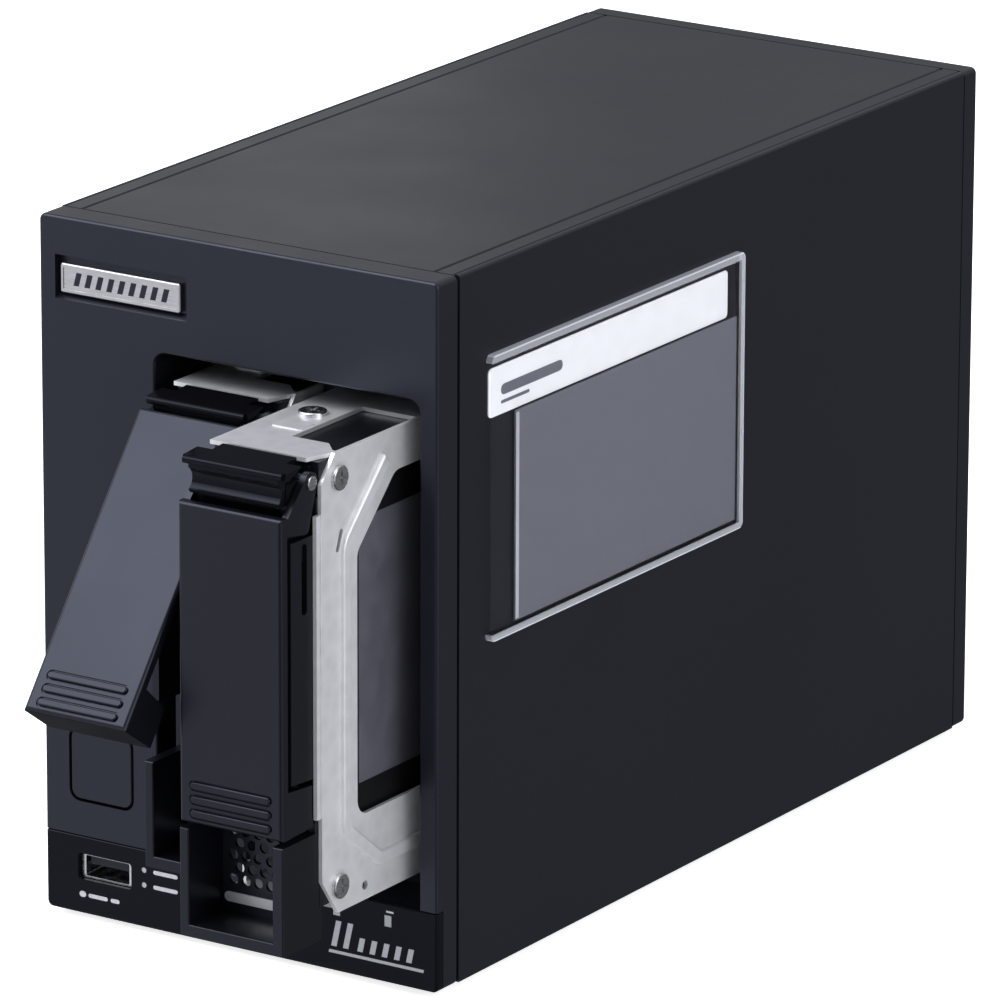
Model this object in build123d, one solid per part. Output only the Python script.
from build123d import *
from math import cos, radians, sin
import os

# A two-bay desktop network storage enclosure. Everything is drawn in millimetres with X from the
# case's left side to its right, Y from the front face to the back and Z up from the underside. At
# the end all of it is moved so that the origin is under the centre of the case, on the plane that
# its feet stand on.

# ---- Driving dimensions: case ----
CASE_W, CASE_D, CASE_H = 111.0, 240.0, 170.0
CORNER_R = 1.6  # corners of the front and rear frames, seen end on
EDGE_R = 0.8  # their outer edges
FRONT_T, REAR_T = 8.0, 6.0  # depth of the front and rear frames
SHEET = 1.5  # side panels and base
SEAM = 0.4  # visible joint between two covers
SIDE_SEAM = 1.0  # shadow gap between the front frame and a side panel
STRIP_W = 6.3  # top strip on each side of the inset top panel
TOP_SHELF = CASE_H - 3.5  # underside of the roof
FOOT_R, FOOT_H = 7.0, 1.5

# ---- Driving dimensions: drive bay and trays ----
BAY_X, BAY_Z = (32.5, 106.0), (19.0, 141.5)
TRAY_W = 28.5  # plastic front of a tray
TRAY_X = {"left": 38.0, "right": 72.0}  # left edge of each tray's front
TRAY_OUT = {"left": 13.1, "right": 47.2}  # how far each tray stands out
LEVER_ANGLE = {"left": 37.5, "right": 0.0}  # how far each lever stands open, degrees
TRAY_LOW, TRAY_TOP = 20.8, 135.5
BOX_TOP = 46.9  # top of the air inlet under the lever
BEZEL_D = 15.6  # depth of a tray's plastic front
STEEL = 1.0  # bracket and cage sheet
BRACKET_LOW = 26.0
BRACKET_END = 176.0
DRIVE_D, DRIVE_H = 147.0, 101.6  # 3.5 inch drive
DRIVE_START = 26.0

# ---- Driving dimensions: lever, pivot and latch ----
LEVER_Z = (48.3, 124.4)
PIVOT = (11.9, 130.2)  # Y behind the tray's face, and Z
PIN_R, RUNNING = 1.0, 0.05
PIN_HEAD_R = 1.7
ARM_T = 1.6
SIDE_GAP = 0.1  # lever narrower than the tray on each side

# ---- Driving dimensions: rear ----
FAN_SIZE, FAN_T = 70.0, 25.0
FAN_X, FAN_Z = 66.0, 90.0
PANEL_Y = (232.4, 233.6)
BOARD_X = (23.4, 25.0)  # main board, standing on edge beside the drive cage
PORT_BACK = 235.2

LOW, HIGH = 0, 1


# ---- Shape helpers ----
def block(x, y, z):
    """A rectangular solid between the low and the high of each pair."""
    pairs = (x, y, z)
    centre = [(low + high) / 2 for low, high in pairs]
    return Pos(*centre) * Box(*[high - low for low, high in pairs])


def rectangle(a, b, radius=0.0):
    """A sketch rectangle between two pairs, with round corners where a radius is given."""
    width, height = a[HIGH] - a[LOW], b[HIGH] - b[LOW]
    shape = RectangleRounded(width, height, radius) if radius else Rectangle(width, height)
    return Pos((a[LOW] + a[HIGH]) / 2, (b[LOW] + b[HIGH]) / 2) * shape


def disc(a, b, radius):
    return Pos(a, b) * Circle(radius)


def polygon(*points):
    return make_face(Polyline(*points, close=True))


def along_x(sketch, x):
    """A YZ outline carried from the low to the high of x."""
    return extrude(Plane.YZ.offset(x[LOW]) * sketch, amount=x[HIGH] - x[LOW])


def along_y(sketch, y):
    """An XZ outline carried from the low to the high of y."""
    return extrude(Plane.XZ.offset(-y[HIGH]) * sketch, amount=y[HIGH] - y[LOW])


def along_z(sketch, z):
    """An XY outline carried from the low to the high of z."""
    return extrude(Plane.XY.offset(z[LOW]) * sketch, amount=z[HIGH] - z[LOW])


def edges_at(part, axis, place, reach=0.01):
    """The edges whose middle lies at a place along an axis."""
    return part.edges().filter_by_position(axis, place - reach, place + reach)


def grown(pair, by):
    return (pair[LOW] - by, pair[HIGH] + by)


# ---- Front of the case ----
BADGE_X, BADGE_Z = (4.5, 41.7), (150.2, 160.8)
BADGE_DEEP = 2.2
BUTTON_X, BUTTON_Z = (7.0, 25.6), (28.0, 46.5)
BUTTON_GROOVE = 0.6
BUTTON_AT = (sum(BUTTON_X) / 2, sum(BUTTON_Z) / 2)
FASCIA_TOP, FASCIA_T = 19.3, 2.4
FASCIA_GAP = 0.3
FRONT_WALL = 3.0  # thickness of the front frame's face
MOUTH_R = 3.0  # corners of the bay mouth
LIP_X = (1.6, 2.6)  # lip behind the shadow gap, in from each side
USB_AT = (16.95, 11.85)
STATUS_X, STATUS_Z, STATUS_R = 28.3, (10.6, 14.3), 0.7
WINDOW_X, WINDOW_Z, WINDOW_W = (83.0, 97.3), (13.8, 16.6), 2.0


def usb_mouth(by=0.0):
    return rectangle(
        (USB_AT[0] - 7.7 - by, USB_AT[0] + 7.7 + by),
        (USB_AT[1] - 3.2 - by, USB_AT[1] + 3.2 + by),
        0.8,
    )


def drive_window(x):
    return rectangle((x - WINDOW_W / 2, x + WINDOW_W / 2), WINDOW_Z)


def front_bezel():
    """The moulded front frame, with the bay mouth, badge recess, button hole and fascia seat."""
    slab = along_y(rectangle((0, CASE_W), (0, CASE_H), CORNER_R), (0, FRONT_T))
    slab = fillet(edges_at(slab, Axis.Y, 0), EDGE_R)
    mouth = rectangle(BAY_X, BAY_Z, MOUTH_R)
    square_foot = rectangle(BAY_X, (BAY_Z[LOW], BAY_Z[LOW] + 2 * MOUTH_R))
    slab -= along_y(mouth + square_foot, (-1, FRONT_T + 1))
    rim = edges_at(slab, Axis.Y, 0).filter_by_position(Axis.X, 30, 108)
    slab = fillet(rim.filter_by_position(Axis.Z, 25, 143), 0.6)
    sill = (-1, BADGE_Z[LOW] - 0.6), (BADGE_DEEP, BADGE_Z[LOW] + 1.2)
    recess = along_x(polygon(*sill, (BADGE_DEEP, BADGE_Z[HIGH]), (-1, BADGE_Z[HIGH])), BADGE_X)
    seat = block((-1, CASE_W + 1), (-1, FASCIA_T + 0.2), (-1, FASCIA_TOP + FASCIA_GAP))
    slab -= [recess, seat, along_y(rectangle(BUTTON_X, BUTTON_Z, 3.0), (-1, FRONT_T))]
    inside = (FRONT_WALL, FRONT_T + 1)
    slab -= block((3, BAY_X[LOW] - 2.2), inside, (22, 147))
    slab -= block((3, CASE_W - 3), inside, (144, CASE_H - 3))
    slab -= block((3, CASE_W - 3), (5.4, FRONT_T + 1), (3, 16.6))
    for x in (LIP_X, (CASE_W - LIP_X[HIGH], CASE_W - LIP_X[LOW])):
        slab += block(x, (FRONT_T - 2, FRONT_T + 2), (13, TOP_SHELF - 1))
    slab -= along_y(usb_mouth(0.4), (-1, FRONT_T))
    for z in STATUS_Z:
        slab -= along_y(disc(STATUS_X, z, STATUS_R), (-1, FRONT_T))
    for x in WINDOW_X:
        slab -= along_y(drive_window(x), (-1, FRONT_T))
    return slab


def lower_fascia():
    """The glossy strip below the bays, with the port mouth and the light openings."""
    front = along_y(rectangle((0, CASE_W), (0, CASE_H), CORNER_R), (0, FASCIA_T))
    strip = fillet(edges_at(front, Axis.Y, 0), EDGE_R)
    strip -= block((-1, CASE_W + 1), (-1, FASCIA_T + 1), (FASCIA_TOP, CASE_H + 1))
    strip = chamfer(edges_at(strip, Axis.Z, FASCIA_TOP).filter_by(Axis.X).sort_by(Axis.Y)[0], 0.25)
    strip -= along_y(usb_mouth(), (-1, FASCIA_T + 1))
    for z in STATUS_Z:
        strip -= along_y(disc(STATUS_X, z, STATUS_R), (-1, FASCIA_T + 1))
    for x in WINDOW_X:
        strip -= along_y(drive_window(x), (-1, FASCIA_T + 1))
    return strip


def light_pipes():
    """Two round status pipes and two upright drive pipes."""
    back = FRONT_T - 1.0
    pipes = [along_y(disc(STATUS_X, z, STATUS_R), (0.1, back)) for z in STATUS_Z]
    return pipes + [along_y(drive_window(x), (0.1, back)) for x in WINDOW_X]


def badge_plate():
    """A blank metal plate with a raised rim, in the badge recess."""
    face = 0.7
    x, z = (5.5, 39.3), (151.6, 158.6)
    plate = along_y(rectangle(x, z, 0.5), (face, BADGE_DEEP))
    plate = chamfer(edges_at(plate, Axis.Y, face), 0.25)
    return plate - along_y(rectangle(grown(x, -0.8), grown(z, -0.8), 0.4), (0, face + 0.2))


def power_button():
    """A square cap with a retaining flange and a stem."""
    cap = along_y(
        rectangle(grown(BUTTON_X, -BUTTON_GROOVE), grown(BUTTON_Z, -BUTTON_GROOVE), 2.5), (0, 3.4)
    )
    cap = fillet(edges_at(cap, Axis.Y, 0), 0.4)
    cap += along_y(rectangle(grown(BUTTON_X, 0.8), grown(BUTTON_Z, 0.8), 3.0), (3.4, 4.6))
    return cap + along_y(disc(*BUTTON_AT, 2.0), (4.6, 8.0))


def coil(radius, wire, turns, length):
    """A round-wire coil spring standing on the origin, along Z."""
    pitch = (length - 2 * wire) / turns
    path = Pos(0, 0, wire) * Helix(pitch, pitch * turns, radius)
    start = path @ 0
    return sweep(Plane(start, z_dir=path % 0) * Circle(wire), path=path)


def button_spring():
    return Pos(BUTTON_AT[0], 4.6, BUTTON_AT[1]) * Rot(-90, 0, 0) * coil(2.6, 0.2, 5, 5.3)


def power_switch():
    """A push switch on its own small board, behind the button."""
    x, z = BUTTON_AT
    board = block((6, 27), (11.0, 12.2), (z - 8, z + 8))
    body = block(grown((x, x), 3.1), (9.9, 11.0), grown((z, z), 3.1))
    return board + body + along_y(disc(x, z, 1.5), (9.3, 9.9))


def front_usb_shell():
    """The folded metal shell of the front USB port, with its flared mouth."""
    x, z = USB_AT
    outer = rectangle((x - 6.55, x + 6.55), (z - 2.85, z + 2.85), 0.6)
    inner = rectangle((x - 6.25, x + 6.25), (z - 2.56, z + 2.56), 0.4)
    tube = along_y(outer, (1.6, 14.0)) + along_y(usb_mouth(-0.15), (1.3, 1.6))
    return tube - along_y(inner, (0, 13.6))


def front_usb_tongue():
    x, z = USB_AT
    tongue = block((x - 5.5, x + 5.5), (2.2, 13.6), (z + 0.3, z + 2.1))
    for lane in range(4):
        at = x - 3.5 + lane * 7 / 3
        tongue += block((at - 0.6, at + 0.6), (3.0, 12), (z + 0.1, z + 0.3))
    return tongue


def front_io_board():
    x, z = USB_AT
    board = block((5, 30), (8.2, 26), (z - 4.45, z - 2.85))
    return board + block((22, 28), (17, 23), (z - 2.85, z - 1.2))


# ---- Covers, base and feet ----
COVER_Y = (FRONT_T + SEAM, CASE_D - REAR_T - SEAM)
SIDE_Y = (FRONT_T + SIDE_SEAM, CASE_D - REAR_T - SEAM)
CARD_POCKET_Y, CARD_POCKET_Z = (19.9, 129.3), (80.0, 148.5)


def side_panel(outer, inner):
    """A flat side cover. Its long upper edge is rounded outside and eased inside."""
    panel = block(tuple(sorted((outer, inner))), SIDE_Y, (0.3, CASE_H))
    top = edges_at(panel, Axis.Z, CASE_H).filter_by(Axis.Y)
    panel = fillet(top.filter_by_position(Axis.X, *grown((outer, outer), 0.1)), 1.0)
    top = edges_at(panel, Axis.Z, CASE_H).filter_by(Axis.Y)
    return chamfer(top.filter_by_position(Axis.X, *grown((inner, inner), 0.1)), 0.4)


def top_cover():
    """The roof: a shelf for the inset panel between two raised side strips."""
    roof = block((SHEET, CASE_W - SHEET), COVER_Y, (TOP_SHELF, CASE_H - 2))
    for x in ((SHEET, STRIP_W), (CASE_W - STRIP_W, CASE_W - SHEET)):
        strip = block(x, COVER_Y, (TOP_SHELF, CASE_H))
        long_edges = edges_at(strip, Axis.Z, CASE_H).filter_by(Axis.Y)
        roof += chamfer(long_edges, 0.35)
    return roof


def top_panel():
    panel = block(grown((STRIP_W, CASE_W - STRIP_W), -SEAM), COVER_Y, (CASE_H - 2, CASE_H))
    return chamfer(edges_at(panel, Axis.Z, CASE_H).filter_by(Axis.Y), 0.3)


def base_plate():
    """The base pan, with upturned edges for the side panels and slots under the drives."""
    pan = block((SHEET, CASE_W - SHEET), COVER_Y, (0, SHEET))
    for x in ((SHEET, SHEET + 1), (CASE_W - SHEET - 1, CASE_W - SHEET)):
        pan += block(x, COVER_Y, (SHEET, 12))
    for row in range(9):
        y = 70 + row * 12
        for x in ((24, 50), (61, 87)):
            pan -= along_z(rectangle(x, (y, y + 3), 1.4), (-1, SHEET + 1))
    return pan


def rubber_feet():
    """Four round feet, tucked in from the edges."""
    foot = along_z(disc(0, 0, FOOT_R), (-FOOT_H, 0))
    foot = fillet(edges_at(foot, Axis.Z, -FOOT_H), 0.5)
    return [Pos(x, y, 0) * foot for x in (17, CASE_W - 17) for y in (24, CASE_D - 22)]


def card_holder():
    """A clear pocket on the right side: a window sheet on a rim that is open at the front."""
    y, z = CARD_POCKET_Y, CARD_POCKET_Z
    sheet = along_x(rectangle(y, z, 1.5), grown((CASE_W + 1.5, CASE_W + 1.5), 0.3))
    rim = along_x(rectangle(y, z, 1.5), (CASE_W, CASE_W + 1.2))
    rim -= block((CASE_W - 1, CASE_W + 2), (y[LOW] - 1, y[HIGH] - 2), grown(z, -2))
    return fillet(edges_at(sheet + rim, Axis.X, CASE_W + 1.8), 0.25)


def card_header():
    """The pale strip fixed along the top of the pocket."""
    return along_x(rectangle((20.6, 123.6), (133.3, 145.0), 1.2), (CASE_W, CASE_W + 0.3))


def name_card():
    return block((CASE_W + 0.35, CASE_W + 0.85), (31.2, 127.0), (82.4, 132.9))


# ---- Rear of the case ----
LAN_Z = (80.0, 102.0)  # lower edge of each network port
USB_STACK_Z, POWER_Z = 56.0, 34.0
REAR_WINDOW_X, REAR_WINDOW_Z = (6.0, CASE_W - 6.0), (6.0, CASE_H - 6.0)


def rear_bezel():
    y = (CASE_D - REAR_T, CASE_D)
    frame = along_y(rectangle((0, CASE_W), (0, CASE_H), CORNER_R), y)
    frame = fillet(edges_at(frame, Axis.Y, CASE_D), EDGE_R)
    frame -= along_y(rectangle(REAR_WINDOW_X, REAR_WINDOW_Z, 4.0), grown(y, 1))
    inner = edges_at(frame, Axis.Y, CASE_D).filter_by_position(Axis.X, 5, CASE_W - 5)
    return fillet(inner.filter_by_position(Axis.Z, 5, CASE_H - 5), 0.8)


def rear_panel():
    """The steel back, with the fan opening, port cut-outs, lock slot and upper vent."""
    panel = block((3.5, CASE_W - 3.5), PANEL_Y, (3, CASE_H - 4))
    through = grown(PANEL_Y, 1)
    panel -= along_y(disc(FAN_X, FAN_Z, FAN_SIZE / 2 - 2), through)
    left = BOARD_X[LOW]
    for z in LAN_Z:
        panel -= block((left - 13.8, left + 0.3), through, (z - 0.3, z + 16.3))
    panel -= block((left - 15.9, left + 0.3), through, (USB_STACK_Z - 0.3, USB_STACK_Z + 13.4))
    panel -= block((left - 11.3, left + 0.3), through, (POWER_Z - 0.3, POWER_Z + 11.3))
    panel -= along_y(rectangle((12, 19), (140, 143), 1.2), through)
    for column in range(13):
        x = 32 + column * 5.5
        panel -= along_y(rectangle((x, x + 2.6), (138, 156), 1.2), through)
    for x, z in FAN_HOLES + REAR_SCREWS:
        panel -= along_y(disc(x, z, 1.6), through)
    return panel


FAN_PITCH = 60.0
FAN_HOLES = [
    (FAN_X + sx * FAN_PITCH / 2, FAN_Z + sz * FAN_PITCH / 2) for sx in (-1, 1) for sz in (-1, 1)
]
REAR_SCREWS = [(10, 10), (CASE_W - 10, 10), (10, CASE_H - 13), (CASE_W - 10, CASE_H - 13)]


def pan_screw(head_r, shank_r, length):
    """A cross-head screw along +Z: the head above the origin, the shank below it."""
    head = along_z(disc(0, 0, head_r), (0, 1.0))
    head = fillet(edges_at(head, Axis.Z, 1.0), 0.45)
    for turn in (0, 90):
        head -= Rot(0, 0, turn) * block(grown((0, 0), head_r * 0.6), grown((0, 0), 0.3), (0.5, 2))
    return head + along_z(disc(0, 0, shank_r), (-length, 0))


def rear_screws():
    return [Pos(x, PANEL_Y[HIGH], z) * Rot(-90, 0, 0) * pan_screw(2.8, 1.5, 5) for x, z in REAR_SCREWS]


def fan_screws():
    return [
        Pos(x, PANEL_Y[HIGH] + 1.0, z) * Rot(-90, 0, 0) * pan_screw(3.0, 1.5, 10) for x, z in FAN_HOLES
    ]


def fan_guard():
    """A wire guard over the fan opening: rings, a cross of wires and four screw eyes."""
    y = (PANEL_Y[HIGH], PANEL_Y[HIGH] + 1.0)
    guard = None
    for radius in (8.0, 16.0, 24.0, 32.0):
        ring = along_y(disc(FAN_X, FAN_Z, radius + 0.7) - disc(FAN_X, FAN_Z, radius - 0.7), y)
        guard = ring if guard is None else guard + ring
    reach = FAN_PITCH / 2
    bar = block(grown((0, 0), 0.7), y, grown((0, 0), reach * 2**0.5))
    for angle in (45, -45):
        guard += Pos(FAN_X, 0, FAN_Z) * Rot(0, angle, 0) * bar
    for x, z in FAN_HOLES:
        guard += along_y(disc(x, z, 3.4), y)
    for x, z in FAN_HOLES:
        guard -= along_y(disc(x, z, 1.6), grown(y, 1))
    return guard


FAN_Y = (PANEL_Y[LOW] - FAN_T, PANEL_Y[LOW])
SHAFT_R = 1.5


def fan_frame():
    """The square fan housing, with its round duct, motor seat and four struts."""
    x, z = (grown((centre, centre), FAN_SIZE / 2) for centre in (FAN_X, FAN_Z))
    frame = along_y(rectangle(x, z, 4.0), FAN_Y)
    frame -= along_y(disc(FAN_X, FAN_Z, FAN_SIZE / 2 - 2), grown(FAN_Y, 1))
    seat = (FAN_Y[HIGH] - 3.5, FAN_Y[HIGH])
    for angle in (20, 110, 200, 290):
        strut = block((0, FAN_SIZE / 2 - 1), seat, grown((0, 0), 1.8))
        frame += Pos(FAN_X, 0, FAN_Z) * Rot(0, angle, 0) * strut
    frame += along_y(disc(FAN_X, FAN_Z, 16), seat)
    frame += along_y(disc(FAN_X, FAN_Z, 4), (FAN_Y[HIGH] - 12, FAN_Y[HIGH]))
    frame -= along_y(disc(FAN_X, FAN_Z, SHAFT_R + RUNNING), grown(FAN_Y, 1))
    for hole_x, hole_z in FAN_HOLES:
        frame -= along_y(disc(hole_x, hole_z, 2.1), grown(FAN_Y, 1))
    return frame


def fan_rotor():
    """The hub cup with its shaft and seven pitched blades."""
    front, back = FAN_Y[LOW] + 2, FAN_Y[HIGH] - 4.5
    hub = along_y(disc(FAN_X, FAN_Z, 16), (front, back))
    hub = fillet(edges_at(hub, Axis.Y, front), 1.0)
    hub -= along_y(disc(FAN_X, FAN_Z, 14.2), (front + 2, back + 1))
    rotor = hub + along_y(disc(FAN_X, FAN_Z, SHAFT_R), (front + 1, FAN_Y[HIGH] - 1))
    for step in range(7):
        blade = block((15, FAN_SIZE / 2 - 2), (-0.7, 0.7), (-9.0, 9.0))
        pitched = Pos(0, (front + back) / 2, 0) * Rot(48, 0, 0) * blade
        rotor += Pos(FAN_X, 0, FAN_Z) * Rot(0, step * 360 / 7, 0) * pitched
    return rotor & along_y(disc(FAN_X, FAN_Z, FAN_SIZE / 2 - 3), (front, FAN_Y[HIGH]))


# ---- Inside the case ----
CAGE_X = (BAY_X[LOW] - 1.6, BAY_X[HIGH] + 1.6)
CAGE_Z = (BAY_Z[LOW] - 1.4, BAY_Z[HIGH] + 1.9)
CAGE_Y = (FRONT_T + SEAM, 184.0)
RAIL_Y = (17.5, 170.0)
DIVIDER_X = (69.3, 70.3)


def drive_cage():
    """A sheet-steel tunnel round the bays: four plates, spot-welded edge to edge, on two legs."""
    walls = []
    for x in ((CAGE_X[LOW], CAGE_X[LOW] + STEEL), (CAGE_X[HIGH] - STEEL, CAGE_X[HIGH])):
        wall = block(x, CAGE_Y, grown(CAGE_Z, -STEEL))
        for column in range(6):
            y = 40 + column * 22
            wall -= along_x(rectangle((y, y + 12), (50, 110), 3), grown(x, 1))
        walls.append(wall)
    floor = block(CAGE_X, CAGE_Y, (CAGE_Z[LOW], CAGE_Z[LOW] + STEEL))
    roof = block(CAGE_X, CAGE_Y, (CAGE_Z[HIGH] - STEEL, CAGE_Z[HIGH]))
    legs = [block(grown(CAGE_X, -2), y, (SHEET, CAGE_Z[LOW])) for y in ((50, 51), (160, 161))]
    return walls + [floor, roof] + legs


def bay_divider():
    wall = block(DIVIDER_X, (RAIL_Y[LOW], CAGE_Y[HIGH] - 4), grown(CAGE_Z, -STEEL))
    for column in range(5):
        y = 40 + column * 26
        wall -= along_x(rectangle((y, y + 16), (50, 110), 4), grown(DIVIDER_X, 1))
    return wall


def guide_rails():
    """Four moulded channels, two per bay, that the brackets slide in."""
    rails = []
    for x0 in TRAY_X.values():
        slot = (x0 - 0.4, x0 + TRAY_W + STEEL + 0.5)
        outer = (slot[LOW] - 1.3, slot[HIGH] + 1.3)
        heads = (x0 + 3.4, x0 + 11.9)  # room for the drive screws' heads
        lower = block(outer, RAIL_Y, (CAGE_Z[LOW] + STEEL, 28.5))
        lower -= block(slot, grown(RAIL_Y, 1), (BRACKET_LOW - 0.4, 30))
        lower -= block(heads, grown(RAIL_Y, 1), (BRACKET_LOW - 2.4, 30))
        upper = block(outer, RAIL_Y, (133.3, CAGE_Z[HIGH] - STEEL))
        upper -= block(slot, grown(RAIL_Y, 1), (130, TRAY_TOP + 0.4))
        upper -= block(heads, grown(RAIL_Y, 1), (130, TRAY_TOP + 2.4))
        rails += [lower, upper]
    return rails


def backplane_board():
    """The upright board that closes the cage, with windows for the air."""
    board = block(CAGE_X, (CAGE_Y[HIGH], CAGE_Y[HIGH] + 1.6), CAGE_Z)
    for x in ((35, 41), (56, 66), (90, 104)):
        board -= along_y(rectangle(x, (30, 130), 2), grown(CAGE_Y, 4))
    return board


SOCKET_Z = (60.0, 102.0)


def sata_connectors():
    """One combined data and power socket for each bay."""
    sockets = []
    for x0 in TRAY_X.values():
        y = (DRIVE_START + DRIVE_D + 0.5, CAGE_Y[HIGH])
        socket = block((x0 + 4, x0 + 11), y, SOCKET_Z)
        socket -= block((x0 + 6.4, x0 + 8.6), (y[LOW] - 1, y[LOW] + 5), (63, 82))
        sockets.append(socket - block((x0 + 6.4, x0 + 8.6), (y[LOW] - 1, y[LOW] + 5), (85, 99)))
    return sockets


BOARD_Y, BOARD_Z = (20.0, 231.0), (20.0, 160.0)


def main_board():
    """The main board with its larger chips and capacitors on the outer side."""
    board = block(BOARD_X, BOARD_Y, BOARD_Z)
    face = BOARD_X[LOW]
    for y, z, size, height in ((150, 60, 16, 1.6), (150, 84, 12, 1.6), (60, 60, 20, 2.0)):
        board += block((face - height, face), grown((y, y), size / 2), grown((z, z), size / 2))
    for step in range(5):
        board += along_x(disc(196, 44 + step * 11, 3.2), (face - 8, face))
    return board


STANDOFFS = [(40, 30), (40, 135), (170, 30), (170, 135)]


def board_standoffs():
    return [along_x(disc(y, z, 2.6), (BOARD_X[HIGH], CAGE_X[LOW])) for y, z in STANDOFFS]


def board_heatsink():
    """A finned block over the processor."""
    face = BOARD_X[LOW]
    sink = block((face - 4, face), (90, 130), (90, 130))
    for fin in range(9):
        z = 90.5 + fin * 4.75
        sink += block((face - 14, face - 4), (90, 130), (z, z + 1.2))
    return sink


def lan_port(z):
    """A network socket on the board's rear edge."""
    x = (BOARD_X[LOW] - 13.5, BOARD_X[LOW])
    body = block(x, (213, PORT_BACK), (z, z + 16))
    body -= block((x[LOW] + 2.4, x[LOW] + 10.6), (220.5, PORT_BACK + 1), (z + 2, z + 14))
    key = block((x[LOW] + 0.8, x[LOW] + 2.5), (220.5, PORT_BACK + 1), (z + 5, z + 11))
    return body - key


def rear_usb_ports():
    """Two stacked USB sockets with their tongues, on edge."""
    x = (BOARD_X[LOW] - 15.6, BOARD_X[LOW])
    z = USB_STACK_Z
    body = block(x, (218, PORT_BACK), (z, z + 13.1))
    for at in (x[LOW] + 1.0, x[LOW] + 9.0):
        body -= block((at, at + 5.12), (222, PORT_BACK + 1), (z + 0.3, z + 12.8))
        body += block((at + 0.5, at + 2.3), (222, PORT_BACK - 1.5), (z + 1.0, z + 12.1))
    return body


def dc_jack():
    """The round low-voltage power socket with its centre pin."""
    x = (BOARD_X[LOW] - 11, BOARD_X[LOW])
    centre = (sum(x) / 2, POWER_Z + 5.5)
    body = block(x, (221, PORT_BACK), (POWER_Z, POWER_Z + 11))
    body -= along_y(disc(*centre, 3.2), (223, PORT_BACK + 1))
    return body + along_y(disc(*centre, 1.0), (223, PORT_BACK - 1))


# ---- Drive trays, drawn shut with their left edge at X 0 ----
CHEEK_X = ((2.1, 3.9), (TRAY_W - 3.9, TRAY_W - 2.1))
ARM_X = ((SIDE_GAP, SIDE_GAP + ARM_T), (TRAY_W - SIDE_GAP - ARM_T, TRAY_W - SIDE_GAP))
BOX_WALL_X = ((0, 2.5), (TRAY_W - 3.0, TRAY_W))
SIDE_WALL_X = ((0, 1.8), (TRAY_W - 1.8, TRAY_W))
WALL_START, WALL_START_LOW = 3.6, 12.9  # where the side walls begin, beside and below the lever
CROSSBAR_Z = (112.0, 118.0)
SHELF_Z = (131.9, 134.4)  # plastic finger between the drive's edge and the bracket's top flange
BRACKET_SCREWS = [(21.0, 129.5), (21.0, 32.4)]  # Y and Z, on the right side
DRIVE_X = (1.3, 27.4)
DRIVE_Z = (29.95, 29.95 + DRIVE_H)
DRIVE_HOLE_X = DRIVE_X[LOW] + 6.35
DRIVE_HOLES_Y = (DRIVE_START + DRIVE_D - 130.1, DRIVE_START + DRIVE_D - 28.5)
DRIVE_SCREW_R = 1.7


def tray_bezel():
    """The plastic front: an open-topped air inlet below, a hollow for the lever above."""
    body = block((0, TRAY_W), (0, BEZEL_D), (TRAY_LOW, TRAY_LOW + 3))
    for x in BOX_WALL_X:
        body += block(x, (0, BEZEL_D), (TRAY_LOW, BOX_TOP))
    front_edges = edges_at(body, Axis.Y, 0)
    body = fillet(front_edges.filter_by_position(Axis.Z, TRAY_LOW - 1, BOX_TOP + 1), 0.4)
    side = polygon(
        (WALL_START_LOW, BOX_TOP - 1),
        (BEZEL_D, BOX_TOP - 1),
        (BEZEL_D, CROSSBAR_Z[HIGH]),
        (WALL_START, CROSSBAR_Z[HIGH]),
        (WALL_START, 60.9),
        (WALL_START_LOW, 60.2),
    )
    side -= rectangle((7.9, 10.0), (100.0, 116.8), 1.0)
    for x in SIDE_WALL_X:
        body += along_x(side, x)
    back = block((0, TRAY_W), (13.6, BEZEL_D), (48, 133.8))
    for x in ARM_X:
        back -= block(grown(x, 0.2), (13, 15.0), (126.4, 134))
    for row in range(8):
        z = 56 + row * 6.5
        back -= along_y(rectangle((5, TRAY_W - 5), (z, z + 3), 1.4), (13, BEZEL_D + 1))
    body += back + block((1, TRAY_W - 1), (5, 14), CROSSBAR_Z)
    body += block((12.5, TRAY_W), (BEZEL_D - 1, 56.0), SHELF_Z)
    for x in CHEEK_X:
        body += along_x(rectangle((5, 14), (CROSSBAR_Z[HIGH] - 1, 131)) + disc(*PIVOT, 1.9), x)
    for _, z in BRACKET_SCREWS:
        body += block((TRAY_W - 4.5, TRAY_W + 0.1), (BEZEL_D - 1, 25.5), grown((z, z), 3.6))
        body -= along_x(disc(21.0, z, 1.5), (TRAY_W - 4.2, TRAY_W + 1))
    for x in CHEEK_X:
        body -= along_x(disc(*PIVOT, PIN_R), grown(x, 0.05))
    return body


def vent_mesh():
    """A steel plate across the back of the air inlet, with staggered round holes."""
    x, z, y = (2.5, TRAY_W - 3.0), (TRAY_LOW + 3, 48.0), (13.6, 14.4)
    plate = block(x, y, z)
    pitch, radius = 3.4, 1.25
    for row in range(5):
        count = 6 if row % 2 == 0 else 7
        start = (x[LOW] + x[HIGH] - (count - 1) * pitch) / 2
        for column in range(count):
            hole = disc(start + column * pitch, 31.6 + row * pitch * 0.87, radius)
            if count == 7 and column in (0, 6):
                continue
            plate -= along_y(hole, grown(y, 1))
    return plate


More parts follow.
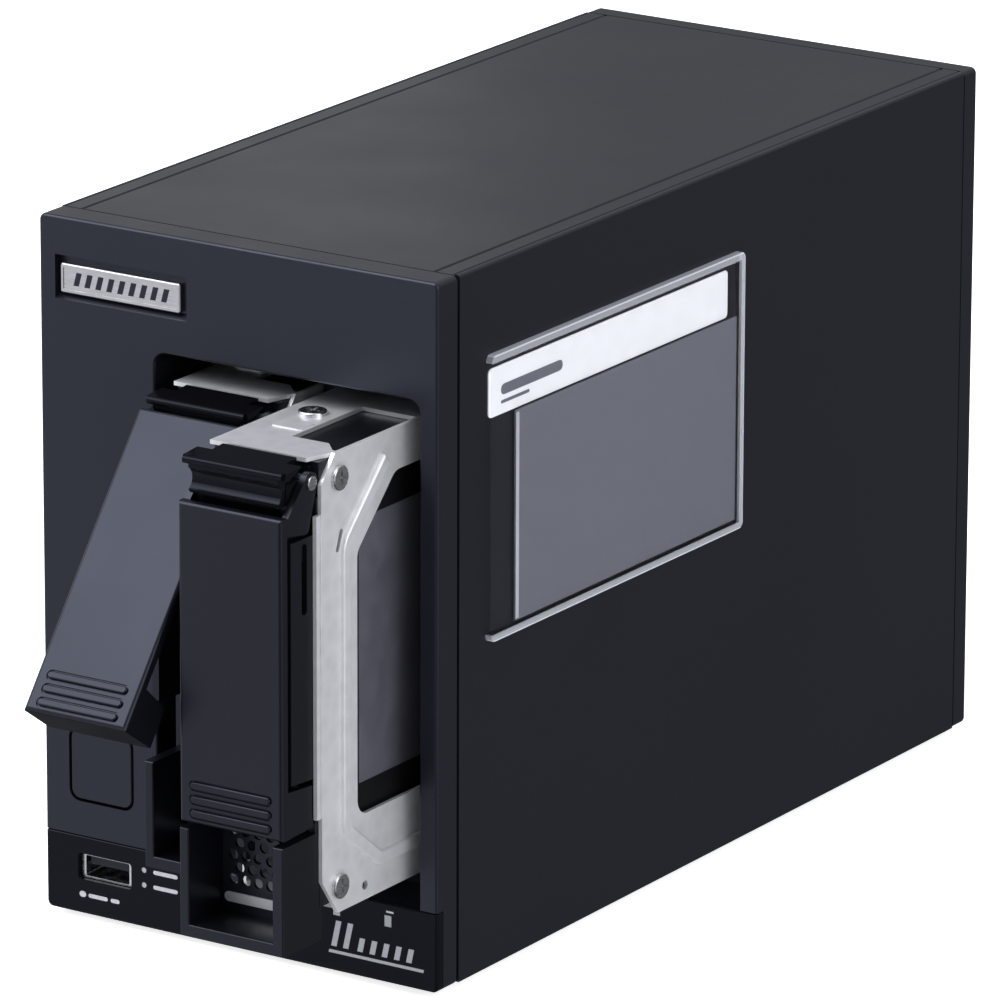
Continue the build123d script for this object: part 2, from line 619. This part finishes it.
def lever():
    """The hinged front lever: a plate with turned-back sides, two arms and three grip ridges."""
    width = (SIDE_GAP, TRAY_W - SIDE_GAP)
    side = polygon(
        (0, LEVER_Z[LOW]),
        (12.2, LEVER_Z[LOW] + 0.6),
        (12.2, 58.8),
        (2.4, 59.6),
        (2.4, LEVER_Z[HIGH]),
        (0, LEVER_Z[HIGH]),
    )
    body = along_x(side, width)
    hollow = polygon(
        (2.0, LEVER_Z[LOW] + 1.8),
        (13, LEVER_Z[LOW] + 1.8),
        (13, LEVER_Z[HIGH] + 1),
        (2.0, LEVER_Z[HIGH] + 1),
    )
    body = fillet(edges_at(body, Axis.Y, 0), 1.0)
    body -= along_x(hollow, (ARM_X[0][HIGH], ARM_X[1][LOW]))
    arm = make_hull((disc(*PIVOT, 2.6) + disc(2.0, 121.4, 1.4) + disc(9.8, 120.0, 1.3)).edges())
    for x in ARM_X:
        body += along_x(arm, x)
        body -= along_x(disc(*PIVOT, PIN_R + RUNNING), grown(x, 0.1))
    for z in (57.6, 54.25, 50.9):
        body -= along_y(Pos(TRAY_W / 2, z) * SlotOverall(22.8, 2.7), (-1, 0.35))
        ridge = along_y(Pos(TRAY_W / 2, z) * SlotOverall(22, 1.8), (-0.5, 0.5))
        body += fillet(edges_at(ridge, Axis.Y, -0.5), 0.4)
    return body


def lever_pins():
    """Two stub pins, pressed into the cheeks, that the lever's arms turn on."""
    left, right = CHEEK_X
    head = (ARM_X[1][HIGH] + RUNNING, ARM_X[1][HIGH] + 0.5)
    pins = [along_x(disc(*PIVOT, PIN_R), (ARM_X[0][LOW], left[HIGH]))]
    pins.append(along_x(disc(*PIVOT, PIN_R), (right[LOW], head[HIGH])))
    pins[1] += fillet(edges_at(along_x(disc(*PIVOT, PIN_HEAD_R), head), Axis.X, head[HIGH]), 0.25)
    return pins


LIP_Y, LIP_Z = (1.2, 3.4), (132.9, 134.7)  # clear of the arms of an open lever


def latch():
    """The release bar: a finger lip, a hollowed front under it and a slider between the cheeks."""
    lip = along_x(rectangle(LIP_Y, LIP_Z, 0.85), (0.6, TRAY_W - 1.0))
    inner = (CHEEK_X[0][HIGH] + 0.3, CHEEK_X[1][LOW] - 0.3)
    roof = along_x(polygon((2.3, 132.3), (12.2, 132.3), (12.2, 135.5), (2.3, 134.7)), inner)
    wings = polygon((2.3, 132.9), (3.4, 132.9), (8.0, 134.8), (8.0, 135.15), (2.3, 134.7))
    roof += along_x(wings, (SIDE_GAP, TRAY_W - SIDE_GAP))
    front_x = (ARM_X[0][HIGH] + 0.4, ARM_X[1][LOW] - 0.4)
    front = polygon((1.6, 133.6), (4.6, 134.6), (4.6, 126.2), (2.2, 126.2), (1.6, 127.0))
    scoop = along_x(front - disc(0.2, 129.6, 2.9), front_x)
    slider = block(inner, (4.4, 12.2), (119.0, 132.4))
    slider -= block(grown(inner, -2.0), (6.4, 13), (125, 131))
    slider -= along_z(disc(TRAY_W / 2, 8.8, 2.5), (118, 123.4))
    return lip + roof + scoop + slider


def latch_spring():
    return Pos(TRAY_W / 2, 8.8, CROSSBAR_Z[HIGH]) * coil(1.7, 0.25, 4, 5.4)


WALL_FRONT = 14.2  # front edge of the bracket's side wall
BEAD_PROUD = 0.9  # height of the stiffening bead beside its window


def tray_bracket():
    """The folded steel bracket: a windowed side wall with top and bottom flanges."""
    right = (TRAY_W + 0.1, TRAY_W + 0.1 + STEEL)
    top, low = TRAY_TOP, BRACKET_LOW
    wall = polygon(
        (19.7, top),
        (BRACKET_END, top),
        (BRACKET_END, low),
        (20.5, low),
        (WALL_FRONT, low + 9),
        (WALL_FRONT, 129.3),
    )
    wall += rectangle((WALL_FRONT - 2, WALL_FRONT), (50.5, 122.4))
    window = polygon((28.5, 110), (44, 125.5), (152, 125.5), (152, 46.8), (28.5, 46.8))
    wall -= fillet(window.vertices(), 4.0)
    wall -= disc(31.5, 29.5, 1.1)
    wall -= Pos(21.4, 114.6) * Rot(0, 0, 70) * SlotOverall(5.5, 1.3)
    body = along_x(wall, right)
    spine = FilletPolyline((40, 129.5), (23.6, 113), (23.6, 45), (37, 34.5), (160, 34.5), radius=5)
    bead = along_x(trace(spine, 3.4), (right[LOW], right[HIGH] + BEAD_PROUD))
    body += fillet(edges_at(bead, Axis.X, right[HIGH] + BEAD_PROUD), 0.6)
    body -= block((right[HIGH] - 0.3, right[HIGH] + 1), (13.5, 14.0), (50.0, 122.9))
    body += block((0, right[LOW]), (13.1, BRACKET_END), (top - STEEL, top))
    body += block((0, right[HIGH]), (22.5, BRACKET_END), (low, low + STEEL))
    for z in ((top - 5, top), (low, low + 5)):
        body += block((0, STEEL), (25.0, BRACKET_END), z)
    notch = polygon(
        (13.9, 53.9), (13.9, 25.5), (24.0, 25.5), (27.8, 21.4), (right[LOW], 21.4), (right[LOW], 53.9)
    )
    corner = polygon((26.2, 13.0), (right[LOW], 13.0), (right[LOW], 19.7))
    body -= along_z(notch + corner, (top - 2, top + 1))
    body += along_z(rectangle((5, 13), (30, 36), 0.8), (top, top + 0.3))
    for y, z in BRACKET_SCREWS:
        body -= along_x(disc(y, z, 1.5), grown(right, 1))
    for y in DRIVE_HOLES_Y:
        for z in ((top - 2, top + 1), (low - 1, low + 2)):
            body -= along_z(disc(DRIVE_HOLE_X, y, DRIVE_SCREW_R), z)
    return body


def bracket_screws():
    """Two screws through the bracket into the plastic front, and four into the drive's edges."""
    face = TRAY_W + 0.1 + STEEL
    screws = [Pos(face, y, z) * Rot(0, 90, 0) * pan_screw(3.0, 1.5, 5) for y, z in BRACKET_SCREWS]
    for y in DRIVE_HOLES_Y:
        screws.append(Pos(DRIVE_HOLE_X, y, TRAY_TOP) * pan_screw(3.4, DRIVE_SCREW_R, 8))
        flipped = Rot(180, 0, 0) * pan_screw(3.4, DRIVE_SCREW_R, 8)
        screws.append(Pos(DRIVE_HOLE_X, y, BRACKET_LOW) * flipped)
    return screws


def drive_grommets():
    """Rubber rings that space the drive from the bracket's flanges."""
    ring = disc(0, 0, 4.2) - disc(0, 0, DRIVE_SCREW_R)
    gaps = ((BRACKET_LOW + STEEL, DRIVE_Z[LOW]), (DRIVE_Z[HIGH], TRAY_TOP - STEEL))
    return [Pos(DRIVE_HOLE_X, y, 0) * along_z(ring, z) for y in DRIVE_HOLES_Y for z in gaps]


def drive_body():
    """The hard drive's casting with its stepped lid and round spindle relief."""
    y = (DRIVE_START, DRIVE_START + DRIVE_D)
    body = block((DRIVE_X[LOW] + 1.6, DRIVE_X[HIGH] - 0.8), y, DRIVE_Z)
    body = fillet(body.edges().filter_by(Axis.X), 3.0)
    lid = along_x(rectangle(grown(y, -2), grown(DRIVE_Z, -2), 4.0), (DRIVE_X[HIGH] - 1, DRIVE_X[HIGH]))
    body += chamfer(edges_at(lid, Axis.X, DRIVE_X[HIGH]), 0.4)
    spindle = disc(y[HIGH] - 56, sum(DRIVE_Z) / 2, 40) - disc(y[HIGH] - 56, sum(DRIVE_Z) / 2, 38.6)
    body -= along_x(spindle, (DRIVE_X[HIGH] - 0.3, DRIVE_X[HIGH] + 1))
    for hole_y in DRIVE_HOLES_Y:
        for z in ((DRIVE_Z[LOW] - 1, DRIVE_Z[LOW] + 6), (DRIVE_Z[HIGH] - 6, DRIVE_Z[HIGH] + 1)):
            body -= along_z(disc(DRIVE_HOLE_X, hole_y, DRIVE_SCREW_R), z)
    return body


def drive_board():
    """The drive's controller board with two chips."""
    back = DRIVE_START + DRIVE_D
    x = (DRIVE_X[LOW] + 0.4, DRIVE_X[LOW] + 1.6)
    board = block(x, (back - 92, back - 1), grown(DRIVE_Z, -6))
    for y, z, size in ((back - 40, 70, 14), (back - 66, 96, 10)):
        board += block((x[LOW] - 0.2, x[LOW]), grown((y, y), size / 2), grown((z, z), size / 2))
    return board


# ---- Assembly ----
def swung(part, angle):
    """A lever turned open about the pivot, its lower end coming forward."""
    return Pos(0, *PIVOT) * Rot(-angle, 0, 0) * Pos(0, -PIVOT[0], -PIVOT[1]) * part


def tray_parts(side):
    """Every piece of one tray, moved to its bay and pulled out as far as it stands."""
    place = Pos(TRAY_X[side], -TRAY_OUT[side], 0)
    pieces = {
        "bezel": tray_bezel(),
        "vent_mesh": vent_mesh(),
        "bracket": tray_bracket(),
        "bracket_screws": bracket_screws(),
        "lever": swung(lever(), LEVER_ANGLE[side]),
        "lever_pins": lever_pins(),
        "latch": latch(),
        "latch_spring": latch_spring(),
        "drive_body": drive_body(),
        "drive_board": drive_board(),
        "drive_grommets": drive_grommets(),
    }
    for name, shape in pieces.items():
        solids = shape if isinstance(shape, list) else [shape]
        yield f"{side}_{name}", [place * solid for solid in solids]


def case_parts():
    return {
        "front_bezel": front_bezel(),
        "lower_fascia": lower_fascia(),
        "light_pipes": light_pipes(),
        "badge_plate": badge_plate(),
        "power_button": power_button(),
        "button_spring": button_spring(),
        "power_switch": power_switch(),
        "front_usb_shell": front_usb_shell(),
        "front_usb_tongue": front_usb_tongue(),
        "front_io_board": front_io_board(),
        "side_panel_left": side_panel(0, SHEET),
        "side_panel_right": side_panel(CASE_W, CASE_W - SHEET),
        "top_cover": top_cover(),
        "top_panel": top_panel(),
        "base_plate": base_plate(),
        "rubber_feet": rubber_feet(),
        "card_holder": card_holder(),
        "card_header": card_header(),
        "name_card": name_card(),
        "rear_bezel": rear_bezel(),
        "rear_panel": rear_panel(),
        "rear_screws": rear_screws(),
        "fan_screws": fan_screws(),
        "fan_guard": fan_guard(),
        "fan_frame": fan_frame(),
        "fan_rotor": fan_rotor(),
        "drive_cage": drive_cage(),
        "bay_divider": bay_divider(),
        "guide_rails": guide_rails(),
        "backplane_board": backplane_board(),
        "sata_connectors": sata_connectors(),
        "main_board": main_board(),
        "board_standoffs": board_standoffs(),
        "board_heatsink": board_heatsink(),
        "lan_port_lower": lan_port(LAN_Z[LOW]),
        "lan_port_upper": lan_port(LAN_Z[HIGH]),
        "rear_usb_ports": rear_usb_ports(),
        "dc_jack": dc_jack(),
    }


def write(name, solids):
    """One STEP file per node, in the frame whose origin is where the case stands."""
    to_frame = Pos(-CASE_W / 2, -CASE_D / 2, FOOT_H)
    export_step(Compound(children=[to_frame * solid for solid in solids]), f"parts/{name}.step")


def main():
    os.makedirs("parts", exist_ok=True)
    for name, shape in case_parts().items():
        write(name, shape if isinstance(shape, list) else [shape])
    for side in TRAY_X:
        for name, solids in tray_parts(side):
            write(name, solids)


main()
